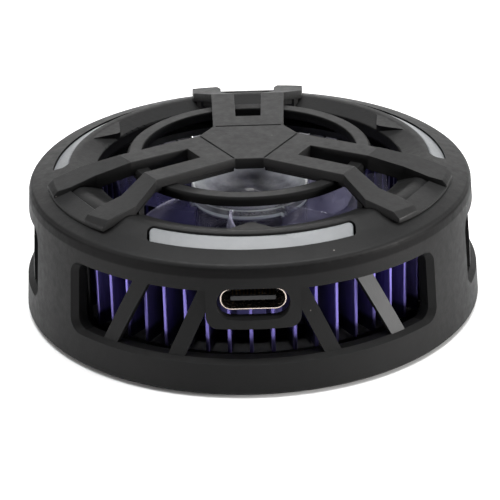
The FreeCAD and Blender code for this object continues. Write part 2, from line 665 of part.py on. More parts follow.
# ============================================================================
# thermoelectric plate and cold side
# ============================================================================
h = TEC / 2
save("thermal_pad", box(-h, h, -h, h, 4.2, HS_Z0))
save("peltier_hot_plate", box(-h, h, -h, h, 3.6, 4.2))
save("peltier_cold_plate", box(-h, h, -h, h, 2.0, 2.6))
legs = []
n = 8
pitch = (TEC - 2.4) / n
for i in range(n):
    for j in range(n):
        x = (i - (n - 1) / 2) * pitch
        y = (j - (n - 1) / 2) * pitch
        legs.append(box(x - 0.7, x + 0.7, y - 0.7, y + 0.7, 2.6, 3.6))
save("peltier_legs", Part.makeCompound(legs))

LEAD_R = 0.4
foam = cyl(19.6, 2.0, 4.3).cut(box(-h - 0.25, h + 0.25, -h - 0.25, h + 0.25, 1, 5))
for az in (0.0, 90.0, 180.0, 270.0):
    c = polar(HS_SCREW_R, az)
    foam = foam.cut(cyl(1.0, 1, 5, c.x, c.y))
foam = foam.cut(rot(box(9.0, 21.0, -1.1, 1.1, 2.5, 3.7), LEAD_AZ))
save("insulation_ring", foam)

cold = revolve([(0, 0), (COLD_R - 0.3, 0), (COLD_R, 0.3), (COLD_R, 1.4), (18.8, 1.4), (18.8, 2.0), (0, 2.0)])
for az in (0.0, 90.0, 180.0, 270.0):
    c = polar(HS_SCREW_R, az)
    cold = cold.cut(cyl(0.7, 0.8, 3, c.x, c.y))
save("cold_plate", cold)

cover = revolve([(16.25, 0.6), (30.75, 0.6), (30.75, 1.4), (20.6, 1.4), (20.6, 3.8), (19.9, 3.8), (19.9, 1.4), (16.25, 1.4)])
rimw = revolve([(30.2, 1.3), (30.75, 1.3), (30.6, 3.6), (30.2, 3.6)])
cover = cover.fuse(rimw)
for az in ARM_AZ:
    c = polar(POST_AT, az)
    cover = cover.cut(cyl(POST_R + 0.15, 1.4, 5, c.x, c.y))
    cover = cover.cut(cyl(0.85, 0, 3, c.x, c.y))
    cover = cover.cut(Part.makeCone(1.35, 0.85, 0.5, Vector(c.x, c.y, 0.6)))
cover = cover.cut(rot(box(19.0, 21.5, -1.1, 1.1, 2.3, 3.6), LEAD_AZ))
save("bottom_cover", cover.removeSplitter())

pad = revolve([(16.7, 0.15), (16.85, 0.0), (30.55, 0.0), (30.7, 0.15), (30.7, 0.6), (16.7, 0.6)])
save("contact_pad", pad)

mags = []
for i in range(16):
    mags.append(sector(21.8, 27.0, 8.9, 1.4, 3.2, 22.5 * i))
save("magnet_ring", Part.makeCompound(mags))
save("magnet_shunt", tube(27.1, 21.7, 3.25, 3.8))

# ============================================================================
# fasteners and leads
# ============================================================================
screws = []
for az in ARM_AZ:
    c = polar(POST_AT, az)
    head = Part.makeCone(1.3, 0.8, 0.5, Vector(c.x, c.y, 0.6))
    shank = cyl(0.55, 1.1, 6.6, c.x, c.y)
    s = head.fuse(shank).cut(box(c.x - 0.9, c.x + 0.9, c.y - 0.13, c.y + 0.13, 0.5, 0.85))
    s = s.cut(box(c.x - 0.13, c.x + 0.13, c.y - 0.9, c.y + 0.9, 0.5, 0.85))
    screws.append(s.removeSplitter())
save("case_screws", Part.makeCompound(screws))


def pan_screw(x, y, zseat, rh, hh, rs, zend):
    s = cyl(rh, zseat, zseat + hh, x, y)
    s = s.makeFillet(hh * 0.5, [e for e in s.Edges if e.BoundBox.ZMin > zseat + hh - 1e-3])
    s = s.fuse(cyl(rs, zend, zseat, x, y))
    s = s.cut(box(x - rh * 0.6, x + rh * 0.6, y - 0.13, y + 0.13, zseat + hh - 0.35, zseat + hh + 1))
    s = s.cut(box(x - 0.13, x + 0.13, y - rh * 0.6, y + rh * 0.6, zseat + hh - 0.35, zseat + hh + 1))
    return s.removeSplitter()


hs_screws = []
for az in (0.0, 90.0, 180.0, 270.0):
    c = polar(HS_SCREW_R, az)
    hs_screws.append(pan_screw(c.x, c.y, HS_Z1, 1.5, 0.9, 0.7, 0.8))
save("heatsink_screws", Part.makeCompound(hs_screws))
fan_screws = []
for az in (30.0, 150.0, 270.0):
    c = polar(FAN_SCREW_R, az)
    fan_screws.append(pan_screw(c.x, c.y, 6.6, 1.2, 0.8, 0.5, HS_Z0 + 0.2))
save("fan_screws", Part.makeCompound(fan_screws))

# leads of the thermoelectric plate: out between two magnets, up a notch in the fins
tec_leads = []
for d in (-0.5, 0.5):
    a = math.radians(LEAD_AZ)
    u = Vector(math.cos(a), math.sin(a), 0)
    v = Vector(-math.sin(a), math.cos(a), 0)
    pts = [u * 13.4 + v * d + Vector(0, 0, 3.1), u * 18.0 + v * d + Vector(0, 0, 3.1),
           u * 23.0 + v * d + Vector(0, 0, 2.6), u * 28.0 + v * d + Vector(0, 0, 2.6),
           u * 28.0 + v * d + Vector(0, 0, 9.0), u * 28.05 + v * d + Vector(0, 0, 16.05)]
    tec_leads.append(pipe(pts, [12.0, 12.0, 0.9, 60.0], LEAD_R))
save("peltier_leads", Part.makeCompound(tec_leads))

# leads of the fan: along the floor, then up between two fins
fan_leads = []
for d, rr in ((-0.36, 24.3), (0.36, 25.6)):
    a = math.radians(242.2)
    u = Vector(math.cos(a), math.sin(a), 0)
    v = Vector(-math.sin(a), math.cos(a), 0)
    pts = [u * 9.05 + v * d + Vector(0, 0, 6.25), u * 16.0 + v * d + Vector(0, 0, 6.25),
           u * rr + v * d * 0.9 + Vector(0, 0, 6.3), u * rr + v * d * 0.9 + Vector(0, 0, 11.0),
           u * (rr + 0.05) + v * d * 0.9 + Vector(0, 0, 16.05)]
    fan_leads.append(pipe(pts, [40.0, 1.2, 60.0], 0.3))
save("fan_leads", Part.makeCompound(fan_leads))
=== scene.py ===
import math

import bmesh
import bpy
from mathutils import Matrix, Vector
from mathutils.bvhtree import BVHTree


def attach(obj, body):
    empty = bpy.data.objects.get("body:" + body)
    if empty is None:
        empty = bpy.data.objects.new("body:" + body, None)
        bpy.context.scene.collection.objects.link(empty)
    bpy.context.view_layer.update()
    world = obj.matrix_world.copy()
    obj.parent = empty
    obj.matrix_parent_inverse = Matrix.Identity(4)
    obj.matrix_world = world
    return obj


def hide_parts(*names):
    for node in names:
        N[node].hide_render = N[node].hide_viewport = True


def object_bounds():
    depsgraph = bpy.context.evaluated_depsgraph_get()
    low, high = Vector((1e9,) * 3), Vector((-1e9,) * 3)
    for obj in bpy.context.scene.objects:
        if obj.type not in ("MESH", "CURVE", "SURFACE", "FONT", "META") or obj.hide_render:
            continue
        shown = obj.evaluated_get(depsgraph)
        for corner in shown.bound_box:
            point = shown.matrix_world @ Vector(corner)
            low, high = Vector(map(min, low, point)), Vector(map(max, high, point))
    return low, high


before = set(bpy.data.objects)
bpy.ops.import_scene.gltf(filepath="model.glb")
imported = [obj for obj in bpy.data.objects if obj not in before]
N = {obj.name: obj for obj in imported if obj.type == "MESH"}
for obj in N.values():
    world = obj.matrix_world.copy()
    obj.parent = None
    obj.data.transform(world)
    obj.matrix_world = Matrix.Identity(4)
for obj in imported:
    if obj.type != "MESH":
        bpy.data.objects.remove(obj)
cad_box = [list(v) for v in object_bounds()]
scene = bpy.context.scene
MM = 0.001

# ---------------------------------------------------------------------------
# camera
# ---------------------------------------------------------------------------
CAM_DIST, CAM_EL, CAM_ROLL, CAM_FOCAL = 0.3291, 26.40, 1.66, 2216.1
CAM_OFF = (-3.0, 38.8)      # image centre, in pixels from the origin's place


def make_camera():
    el, roll = math.radians(CAM_EL), math.radians(CAM_ROLL)
    pos = Vector((0.0, -CAM_DIST * math.cos(el), CAM_DIST * math.sin(el)))
    fwd = (-pos).normalized()
    right = Vector((1, 0, 0))
    up = right.cross(fwd)
    r2 = right * math.cos(roll) + up * -math.sin(roll)
    u2 = right * math.sin(roll) + up * math.cos(roll)
    f2 = (fwd * CAM_FOCAL + r2 * CAM_OFF[0] + u2 * CAM_OFF[1]).normalized()
    r3 = (r2 - f2 * r2.dot(f2)).normalized()
    u3 = r3.cross(f2)
    m = Matrix((r3, u3, -f2)).transposed().to_4x4()
    m.translation = pos
    data = bpy.data.cameras.new("camera")
    data.sensor_fit = "HORIZONTAL"
    data.sensor_width = 36.0
    data.lens = CAM_FOCAL / 500.0 * 36.0
    data.clip_start, data.clip_end = 0.01, 20.0
    cam = bpy.data.objects.new("camera", data)
    scene.collection.objects.link(cam)
    cam.matrix_world = m
    scene.camera = cam
    return cam


make_camera()

# ---------------------------------------------------------------------------
# materials
# ---------------------------------------------------------------------------


class Tree:
    """Small helper to build a node material."""

    def __init__(self, name):
        self.mat = bpy.data.materials.new(name)
        self.mat.use_nodes = True
        self.t = self.mat.node_tree
        self.t.nodes.clear()
        self.out = self.t.nodes.new("ShaderNodeOutputMaterial")
        self.coord = self.t.nodes.new("ShaderNodeTexCoord")

    def n(self, kind, **values):
        node = self.t.nodes.new("ShaderNode" + kind)
        for k, v in values.items():
            if hasattr(node, k) and k not in node.inputs:
                setattr(node, k, v)
            else:
                node.inputs[k].default_value = v
        return node

    def link(self, a, b):
        self.t.links.new(a, b)

    def noise(self, scale, detail=3.0, rough=0.55, vec=None):
        n = self.n("TexNoise")
        n.inputs["Scale"].default_value = scale
        n.inputs["Detail"].default_value = detail
        n.inputs["Roughness"].default_value = rough
        self.link(vec if vec is not None else self.coord.outputs["Object"], n.inputs["Vector"])
        return n

    def ramp(self, src, stops, interp="LINEAR"):
        r = self.n("ValToRGB")
        r.color_ramp.interpolation = interp
        el = r.color_ramp.elements
        while len(el) > 1:
            el.remove(el[-1])
        el[0].position, el[0].color = stops[0][0], grey(stops[0][1])
        for p, c in stops[1:]:
            e = el.new(p)
            e.color = grey(c)
        self.link(src, r.inputs["Fac"])
        return r

    def remap(self, src, a, b, c, d):
        m = self.n("MapRange")
        m.inputs["From Min"].default_value = a
        m.inputs["From Max"].default_value = b
        m.inputs["To Min"].default_value = c
        m.inputs["To Max"].default_value = d
        self.link(src, m.inputs["Value"])
        return m.outputs["Result"]

    def math(self, op, a, b=None):
        m = self.n("Math")
        m.operation = op
        for i, v in enumerate((a, b)):
            if v is None:
                continue
            if isinstance(v, (int, float)):
                m.inputs[i].default_value = v
            else:
                self.link(v, m.inputs[i])
        return m.outputs[0]

    def mix(self, fac, a, b):
        m = self.n("Mix")
        m.data_type = "RGBA"
        if isinstance(fac, (int, float)):
            m.inputs["Factor"].default_value = fac
        else:
            self.link(fac, m.inputs["Factor"])
        for key, v in ((6, a), (7, b)):
            if isinstance(v, (tuple, list)):
                m.inputs[key].default_value = grey(v)
            else:
                self.link(v, m.inputs[key])
        return m.outputs[2]

    def bump(self, height, strength, distance, normal=None):
        b = self.n("Bump")
        b.inputs["Strength"].default_value = strength
        b.inputs["Distance"].default_value = distance
        self.link(height, b.inputs["Height"])
        if normal is not None:
            self.link(normal, b.inputs["Normal"])
        return b.outputs["Normal"]

    def principled(self, **values):
        p = self.n("BsdfPrincipled")
        for k, v in values.items():
            key = k.replace("_", " ")
            if isinstance(v, bpy.types.NodeSocket):
                self.link(v, p.inputs[key])
            else:
                p.inputs[key].default_value = v
        self.link(p.outputs[0], self.out.inputs["Surface"])
        return p


def grey(c):
    if isinstance(c, (int, float)):
        return (c, c, c, 1.0)
    c = tuple(c)
    return c if len(c) == 4 else c + (1.0,)


LIGHT = 1.35    # the studio light is strong, and the reflectances below are set for it


def moulded_black(name, base, warm=0.0, rough=0.52, grain=1.0, dust=0.5, spec=0.5, painted_shade_bands=None):
    """Matte moulded plastic: fine spark-eroded grain, faint flow marks, a little dust."""
    base, spec = base / LIGHT, spec / LIGHT
    t = Tree(name)
    big = t.noise(90.0, 3.0)
    fine = t.noise(3200.0, 2.0, 0.6)
    mid = t.noise(900.0, 3.0, 0.6)
    col = t.ramp(big.outputs["Fac"], [
        (0.3, (base * (0.90 + warm), base * 0.90, base * (0.92 - warm))),
        (0.7, (base * (1.10 + warm), base * 1.10, base * (1.10 - warm)))]).outputs["Color"]
    # dust: rare pale specks of two sizes
    v = t.n("TexVoronoi")
    v.inputs["Scale"].default_value = 260.0
    t.link(t.coord.outputs["Object"], v.inputs["Vector"])
    near = t.remap(v.outputs["Distance"], 0.040, 0.020, 0.0, 1.0)
    pick = t.n("SeparateColor")
    t.link(v.outputs["Color"], pick.inputs[0])
    rare = t.math("GREATER_THAN", pick.outputs[0], 0.84)
    speck = t.math("MULTIPLY", near, rare)
    amount = t.math("MULTIPLY", speck, dust)
    col = t.mix(amount, col, (0.24, 0.225, 0.21))
    rmap = t.remap(mid.outputs["Fac"], 0.3, 0.7, rough - 0.05, rough + 0.06)
    nrm = t.bump(fine.outputs["Fac"], 0.22 * grain, 0.00006)
    nrm = t.bump(mid.outputs["Fac"], 0.10 * grain, 0.00012, nrm)
    p = t.principled(Base_Color=col, Roughness=rmap, Normal=nrm, Specular_IOR_Level=spec)
    if painted_shade_bands is None:
        return t.mat
    # painted shade: between 17.35 and 18.7 mm the shoulder band is darkened and has little sheen, and below it the
    # wall has less sheen than the crown, standing in for how the light falls on them
    at = t.n("SeparateXYZ")
    t.link(t.coord.outputs["Object"], at.inputs[0])
    upper = p
    for height, soft, darker, level in painted_shade_bands:
        low = t.n("BsdfPrincipled")
        t.link(t.mix(1.0 - darker, (0.0, 0.0, 0.0), col), low.inputs["Base Color"])
        t.link(rmap, low.inputs["Roughness"])
        t.link(nrm, low.inputs["Normal"])
        low.inputs["Specular IOR Level"].default_value = level / LIGHT
        mx = t.n("MixShader")
        t.link(t.remap(at.outputs[2], height - soft, height + soft, 0.0, 1.0), mx.inputs[0])
        t.link(low.outputs[0], mx.inputs[1])
        t.link(upper.outputs[0], mx.inputs[2])
        upper = mx
    t.link(upper.outputs[0], t.out.inputs["Surface"])
    return t.mat


def light_guide():
    """Milky acrylic bar: soft, slightly cooler in its depth."""
    t = Tree("milky_acrylic")
    a = t.noise(260.0, 3.0)
    f = t.noise(2400.0, 2.0)
    col = t.ramp(a.outputs["Fac"], [(0.3, (0.103, 0.109, 0.115)), (0.7, (0.116, 0.122, 0.128))]).outputs["Color"]
    rr = t.remap(f.outputs["Fac"], 0.3, 0.7, 0.36, 0.46)
    nrm = t.bump(f.outputs["Fac"], 0.12, 0.00004)
    p = t.principled(Base_Color=col, Roughness=rr, Normal=nrm)
    p.inputs["Subsurface Weight"].default_value = 0.35
    p.inputs["Subsurface Scale"].default_value = 0.0012
    p.inputs["Subsurface Radius"].default_value = (1.0, 1.0, 1.1)
    return t.mat


def anodised(name, c, rough=0.36, dark=(0.012, 0.010, 0.035), painted_shade_radii=(0.0255, 0.0285), metallic=1.0,
             inner_end_shade=(0.115, 0.105, 0.29)):
    """Anodised fins: brushed along their height, with darker streaks from the dye, and painted shade deep between the
    fins, at the rear under the board and low down at their roots.
    """
    c, dark = (tuple(x / LIGHT for x in v) for v in (c, dark))
    t = Tree(name)
    m = t.n("Mapping")
    m.inputs["Scale"].default_value = (1.0, 1.0, 0.08)
    t.link(t.coord.outputs["Object"], m.inputs["Vector"])
    streak = t.noise(2600.0, 3.0, 0.6, m.outputs[0])
    cloud = t.noise(160.0, 2.0)
    lo = tuple(x * 0.72 for x in c)
    hi = tuple(min(1.0, x * 1.18) for x in c)
    col = t.ramp(streak.outputs["Fac"], [(0.30, lo), (0.70, hi)]).outputs["Color"]
    col2 = t.ramp(cloud.outputs["Fac"], [(0.3, (0.86, 0.86, 0.90)), (0.7, (1.0, 1.0, 1.0))]).outputs["Color"]
    mul = t.n("Mix")
    mul.data_type, mul.blend_type = "RGBA", "MULTIPLY"
    mul.inputs["Factor"].default_value = 1.0
    t.link(col, mul.inputs[6])
    t.link(col2, mul.inputs[7])
    # painted shade: the fins turn dark deep between them, inwards from their tips
    xy = t.n("VectorMath")
    xy.operation = "MULTIPLY"
    xy.inputs[1].default_value = (1.0, 1.0, 0.0)
    t.link(t.coord.outputs["Object"], xy.inputs[0])
    ln = t.n("VectorMath")
    ln.operation = "LENGTH"
    t.link(xy.outputs[0], ln.inputs[0])
    depth = t.n("MapRange")
    depth.interpolation_type = "SMOOTHSTEP"
    for k, v in (("From Min", painted_shade_radii[0]), ("From Max", painted_shade_radii[1]), ("To Min", 0.0), ("To Max", 1.0)):
        depth.inputs[k].default_value = v
    t.link(ln.outputs["Value"], depth.inputs["Value"])
    # painted shade: the sides of the rear fins close under the board are dark as well
    at = t.n("SeparateXYZ")
    t.link(t.coord.outputs["Object"], at.inputs[0])
    rear_shade = t.math("MULTIPLY", t.remap(at.outputs[1], 0.012, 0.016, 0.0, 1.0),
                  t.math("MULTIPLY", t.remap(at.outputs[2], 0.0122, 0.0132, 0.0, 1.0),
                         t.remap(ln.outputs["Value"], 0.0290, 0.0285, 0.0, 1.0)))
    depth = t.math("MULTIPLY", depth.outputs["Result"], t.math("SUBTRACT", 1.0, rear_shade))
    full = t.mix(depth, dark, mul.outputs[2])
    # the painted shade lifts at the fins' inner ends and the floor round the fan, to a mid violet darker than the tips
    inner = t.remap(ln.outputs["Value"], 0.0224, 0.0208, 0.0, 1.0)
    full = t.mix(inner, full, tuple(x / LIGHT for x in inner_end_shade))
    # painted shade: low down, along the base's rim and the corners where the fins spring from it, the fins turn almost
    # black
    root_shade = t.math("MULTIPLY", t.remap(at.outputs[2], 0.0070, 0.0063, 0.0, 1.0),
                  t.remap(ln.outputs["Value"], 0.0225, 0.0235, 0.0, 1.0))
    full = t.mix(t.math("MULTIPLY", root_shade, 0.8), full, (0.002, 0.002, 0.004))
    rr = t.remap(streak.outputs["Fac"], 0.3, 0.7, rough - 0.06, rough + 0.08)
    nrm = t.bump(streak.outputs["Fac"], 0.12, 0.00003)
    t.principled(Base_Color=full, Roughness=rr, Normal=nrm, Metallic=metallic)
    return t.mat


def metal(name, c, rough, scale=1800.0, stretch=(1, 1, 1), var=0.12, bump=0.08):
    c = tuple(x / LIGHT for x in c)
    t = Tree(name)
    m = t.n("Mapping")
    m.inputs["Scale"].default_value = stretch
    t.link(t.coord.outputs["Object"], m.inputs["Vector"])
    f = t.noise(scale, 3.0, 0.6, m.outputs[0])
    lo = tuple(x * (1 - var) for x in c)
    col = t.ramp(f.outputs["Fac"], [(0.3, lo), (0.7, c)]).outputs["Color"]
    rr = t.remap(f.outputs["Fac"], 0.3, 0.7, rough * 0.8, rough * 1.25)
    nrm = t.bump(f.outputs["Fac"], bump, 0.00003)
    t.principled(Base_Color=col, Roughness=rr, Normal=nrm, Metallic=1.0)
    return t.mat


def dull(name, c, rough=0.6, scale=900.0, var=0.18, bump=0.15, spec=0.5):
    c, spec = tuple(x / LIGHT for x in c), spec / LIGHT
    t = Tree(name)
    f = t.noise(scale, 4.0, 0.6)
    lo = tuple(x * (1 - var) for x in c)
    hi = tuple(min(1.0, x * (1 + var)) for x in c)
    col = t.ramp(f.outputs["Fac"], [(0.3, lo), (0.7, hi)]).outputs["Color"]
    rr = t.remap(f.outputs["Fac"], 0.3, 0.7, rough - 0.06, rough + 0.06)
    nrm = t.bump(f.outputs["Fac"], bump, 0.00008)
    t.principled(Base_Color=col, Roughness=rr, Normal=nrm, Specular_IOR_Level=spec)
    return t.mat


def clear_plastic():
    """Clear polycarbonate, a little milky where it is seen edge on."""
    t = Tree("clear_polycarbonate")
    f = t.noise(420.0, 3.0)
    g = t.noise(70.0, 2.0)
    lw = t.n("LayerWeight")
    lw.inputs["Blend"].default_value = 0.38
    film = t.n("BsdfTransparent")
    tint = t.ramp(g.outputs["Fac"], [(0.3, (0.88, 0.87, 0.97)), (0.7, (0.95, 0.95, 0.99))]).outputs["Color"]
    t.link(tint, film.inputs["Color"])
    rr = t.remap(f.outputs["Fac"], 0.3, 0.7, 0.08, 0.20)
    nrm = t.bump(f.outputs["Fac"], 0.10, 0.0001)
    # the hub's cup is milkier and denser than the blades; its rim and two thin bands round its outer wall are whitened
    # as painted highlights
    xyz = t.n("SeparateXYZ")
    t.link(t.coord.outputs["Object"], xyz.inputs[0])
    radius = t.math("SQRT", t.math("ADD", t.math("MULTIPLY", xyz.outputs[0], xyz.outputs[0]),
                                   t.math("MULTIPLY", xyz.outputs[1], xyz.outputs[1])))
    hub = t.remap(radius, 0.0094, 0.0088, 0.0, 1.0)
    cup = t.math("MULTIPLY", hub, t.remap(xyz.outputs[2], 0.0147, 0.0151, 0.0, 1.0))
    rim_highlight = t.math("MULTIPLY", cup, t.remap(radius, 0.0062, 0.0081, 0.0, 1.0))
    outer = t.remap(radius, 0.0082, 0.0084, 0.0, 1.0)
    rim_highlight = t.math("MULTIPLY", rim_highlight, t.math("SUBTRACT", 1.0, t.math("MULTIPLY", outer, 0.75)))
    low = t.remap(t.math("ABSOLUTE", t.math("SUBTRACT", xyz.outputs[2], 0.01545)), 0.00034, 0.00022, 0.0, 1.0)
    high = t.remap(t.math("ABSOLUTE", t.math("SUBTRACT", xyz.outputs[2], 0.01655)), 0.00016, 0.00006, 0.0, 0.6)
    band_highlight = t.math("MULTIPLY", t.math("MULTIPLY", cup, outer), t.math("MAXIMUM", low, high))
    p = t.n("BsdfPrincipled")
    milk = t.noise(240.0, 4.0, 0.6)
    milky = t.ramp(milk.outputs["Fac"], [(0.38, (0.155, 0.148, 0.222)), (0.62, (0.35, 0.342, 0.435))]).outputs["Color"]
    dense = t.ramp(milk.outputs["Fac"], [(0.36, (0.25, 0.25, 0.29)), (0.64, (0.62, 0.62, 0.68))]).outputs["Color"]
    milky = t.mix(cup, milky, dense)
    # painted highlight: the rim and the two bands are mixed towards near white
    milky = t.mix(t.math("MAXIMUM", t.math("MULTIPLY", rim_highlight, 0.6), band_highlight), milky, (0.90, 0.96, 0.97))
    t.link(milky, p.inputs["Base Color"])
    t.link(rr, p.inputs["Roughness"])
    t.link(nrm, p.inputs["Normal"])
    p.inputs["IOR"].default_value = 1.58
    fac = t.remap(lw.outputs["Facing"], 0.0, 1.0, 0.26, 0.85)
    more = t.math("ADD", t.math("MULTIPLY", cup, t.remap(outer, 0.0, 1.0, 0.20, 0.02)), t.math("MULTIPLY", rim_highlight, 0.18))
    fac = t.math("MINIMUM", t.math("ADD", fac, t.math("ADD", more, t.math("MULTIPLY", band_highlight, 0.6))), 0.96)
    # the outermost blade tips on two sides are thin and clear
    tips = t.math("MULTIPLY", t.remap(xyz.outputs[0], 0.0156, 0.0172, 1.0, 0.28),
                  t.remap(xyz.outputs[0], -0.0156, -0.0172, 1.0, 0.5))
    fac = t.math("MULTIPLY", fac, tips)
    mx = t.n("MixShader")
    t.link(fac, mx.inputs[0])
    t.link(film.outputs[0], mx.inputs[1])
    t.link(p.outputs[0], mx.inputs[2])
    t.link(mx.outputs[0], t.out.inputs["Surface"])
    return t.mat


M = {
    # painted shade: the housing's shoulder band and the wall below it are darker and less glossy than the crown
    "housing": moulded_black("moulded_black_housing", 0.0106, rough=0.48, spec=0.185, dust=0.8,
                             painted_shade_bands=((0.0187, 0.0001, 0.25, 0.05), (0.01735, 0.00012, 0.0, 0.115))),
    # the bottom cover's plastic, also put on the housing's inner faces as painted shade
    "dark_cover_and_shade": moulded_black("moulded_black_cover_and_painted_shade", 0.006, rough=0.6, spec=0.10, dust=0.2),
    # painted highlight: a lighter, glossier copy of the housing plastic for the face of the outer bar on the right
    "bar_highlight": moulded_black("bar_painted_highlight", 0.0275, rough=0.34, spec=0.76, dust=0.2),
    "guard": moulded_black("moulded_black_guard", 0.0128, rough=0.50, spec=0.235),
    # painted shade: darker copies of the guard plastic for the ring's top and its outer side
    "ring_painted_shade": moulded_black("guard_ring_painted_shade", 0.0088, rough=0.55, spec=0.16),
    "ring_outer_painted_shade": moulded_black("guard_ring_outer_painted_shade", 0.0052, rough=0.6, spec=0.08, dust=0.3),
    "guide": light_guide(),
    # painted shade deep between the fins, from 28.7 mm inwards to 23.6 mm from the axis
    "fins": anodised("anodised_violet", (0.256, 0.214, 0.64), 0.42, painted_shade_radii=(0.0236, 0.0287), metallic=0.86),
    "clear": clear_plastic(),
    "usb": metal("plated_steel", (0.74, 0.63, 0.55), 0.24),
    "steel": metal("dark_steel", (0.36, 0.36, 0.38), 0.35),
    "yoke": metal("turned_steel", (0.56, 0.56, 0.58), 0.30, 2400.0, (1, 1, 1), 0.2),
    "screw": metal("blackened_steel", (0.10, 0.10, 0.11), 0.35),
    "alu": metal("turned_aluminium", (0.74, 0.75, 0.76), 0.30, 1200.0, (1, 1, 1)),
    # painted shade: the contacts' gold is darkened, standing in for the shade inside the socket
    "gold": metal("gold_contacts", (0.34, 0.25, 0.12), 0.30),
    "nickel": metal("nickel_plate", (0.66, 0.65, 0.62), 0.22),
    "copper": metal("enamelled_copper", (0.72, 0.30, 0.12), 0.30, 5200.0, (1, 1, 6)),
    "bronze": metal("sintered_bronze", (0.50, 0.36, 0.18), 0.45),
    "ferrite": dull("ferrite", (0.04, 0.04, 0.042), 0.5),
    "board": dull("solder_mask", (0.004, 0.005, 0.005), 0.36, 1500.0, 0.3, 0.1),
    "chip": dull("epoxy_black", (0.012, 0.012, 0.013), 0.45),
    "tongue": dull("socket_black", (0.010, 0.010, 0.011), 0.42),
    "led": dull("led_package", (0.75, 0.68, 0.40), 0.35, 900.0, 0.1),
    "ceramic": dull("ceramic", (0.78, 0.78, 0.75), 0.55, 1300.0, 0.06),
    "pad": dull("thermal_pad_grey", (0.30, 0.32, 0.34), 0.7),
    "foam": dull("black_foam", (0.018, 0.018, 0.018), 0.9, 2200.0, 0.5, 0.6),
    "rubber": dull("soft_rubber", (0.018, 0.018, 0.018), 0.75, 1500.0, 0.2, 0.2),
    "semi": metal("semiconductor", (0.40, 0.40, 0.42), 0.5),
    "lead": dull("lead_insulation", (0.015, 0.015, 0.016), 0.45),
}
USE = {
    "housing_shell": "housing", "fan_guard": "guard", "light_guide_front": "guide",
    "light_guide_right": "guide", "light_guide_left": "guide", "main_circuit_board": "board",
    "led_chips": "led", "usb_socket_shell": "usb", "usb_socket_tongue": "tongue",
    "usb_contacts": "gold", "board_chips": "chip", "heatsink": "fins", "fan_base": "chip",
    "fan_bearing": "bronze", "fan_circuit_board": "board", "stator_core": "steel",
    "stator_coils": "copper", "fan_shaft": "steel", "rotor_magnet": "ferrite",
    "rotor_yoke": "yoke", "impeller": "clear", "thermal_pad": "pad",
    "peltier_hot_plate": "ceramic", "peltier_cold_plate": "ceramic", "peltier_legs": "semi",
    "insulation_ring": "foam", "cold_plate": "alu", "bottom_cover": "dark_cover_and_shade",
    "contact_pad": "rubber", "magnet_ring": "nickel", "magnet_shunt": "steel",
    "case_screws": "screw", "heatsink_screws": "screw", "fan_screws": "screw",
    "peltier_leads": "lead", "fan_leads": "lead",
}
for name, key in USE.items():
    o = N[name]
    o.data.materials.clear()
    o.data.materials.append(M[key])

# ---------------------------------------------------------------------------
# finer pieces in place of some nodes
# ---------------------------------------------------------------------------


def finish_mesh(bm, name, mat, weighted=True, sharp=50.0):
    me = bpy.data.meshes.new(name)
    bmesh.ops.recalc_face_normals(bm, faces=bm.faces)
    for e in bm.edges:
        e.smooth = len(e.link_faces) == 2 and e.calc_face_angle(0.0) < math.radians(sharp)
    bm.to_mesh(me)
    bm.free()
    me.materials.append(mat)
    me.polygons.foreach_set("use_smooth", [True] * len(me.polygons))
    o = bpy.data.objects.new(name, me)
    scene.collection.objects.link(o)
    if weighted:
        m = o.modifiers.new("wn", "WEIGHTED_NORMAL")
        m.mode = "FACE_AREA"
        m.weight = 60
        m.keep_sharp = True
        bake(o)
    return o


def bake(o):
    """Apply an object's modifiers to its mesh."""
    dg = bpy.context.evaluated_depsgraph_get()
    new = bpy.data.meshes.new_from_object(o.evaluated_get(dg), preserve_all_data_layers=True, depsgraph=dg)
    old = o.data
    o.modifiers.clear()
    new.name = old.name
    o.data = new
    bpy.data.meshes.remove(old)


def rounded(node, name, mat, width, segments=2, angle=28.0, merge=0.02, limit=0.5):
    """A node's own shape with its edges rounded over.

    Where rounding would throw a corner off the surface, the edges there stay as they are.
    """
    base = bmesh.new()
    base.from_mesh(N[node].data)
    bmesh.ops.remove_doubles(base, verts=base.verts, dist=merge * MM)
    bmesh.ops.dissolve_degenerate(base, edges=base.edges, dist=merge * MM * 0.5)
    bmesh.ops.dissolve_limit(base, angle_limit=math.radians(limit), verts=base.verts, edges=base.edges)
    base.verts.index_update()
    base.edges.index_update()
    tree = BVHTree.FromBMesh(base)
    area_of = {f: f.calc_area() for f in base.faces}
    picked = {}
    for e in base.edges:
        if len(e.link_faces) != 2:
            continue
        a = math.degrees(e.calc_face_angle(0.0))
        crease = a > 8.0 and min(area_of[f] for f in e.link_faces) > 1.2 * MM * MM
        if a > angle or crease:
            picked[e.index] = (e.verts[0].co.copy(), e.verts[1].co.copy())
    total = len(picked)
    for attempt in range(7):
        bm = base.copy()
        bm.edges.ensure_lookup_table()
        bmesh.ops.bevel(bm, geom=[bm.edges[k] for k in picked], offset=width * MM, offset_type="OFFSET",
                        segments=segments, profile=0.5, affect="EDGES", clamp_overlap=False,
                        loop_slide=False, miter_outer="SHARP", miter_inner="SHARP")
        bad = []
        for v in bm.verts:
            at, _, _, d = tree.find_nearest(v.co)
            if d > 0.5 * width * MM:
                bad.append((at, d))
        if not bad or attempt == 6:
            break
        bm.free()
        drop = set()
        for at, d in bad:
            reach = max(2.0 * width * MM, 1.2 * d)
            for k, (a, b) in picked.items():
                ab = b - a
                t = max(0.0, min(1.0, (at - a).dot(ab) / max(ab.length_squared, 1e-18)))
                if (a + ab * t - at).length < reach and ab.length < 8 * reach:
                    drop.add(k)
        if not drop:
            break
        for k in drop:
            del picked[k]
    if not bm.is_valid:
        bm = base.copy()
    base.free()
    print(name, "edges rounded", len(picked), "of", total, "rounds", attempt, "left over", len(bad))
    bmesh.ops.remove_doubles(bm, verts=bm.verts, dist=0.004 * MM)
    return finish_mesh(bm, name, mat, sharp=24.0)


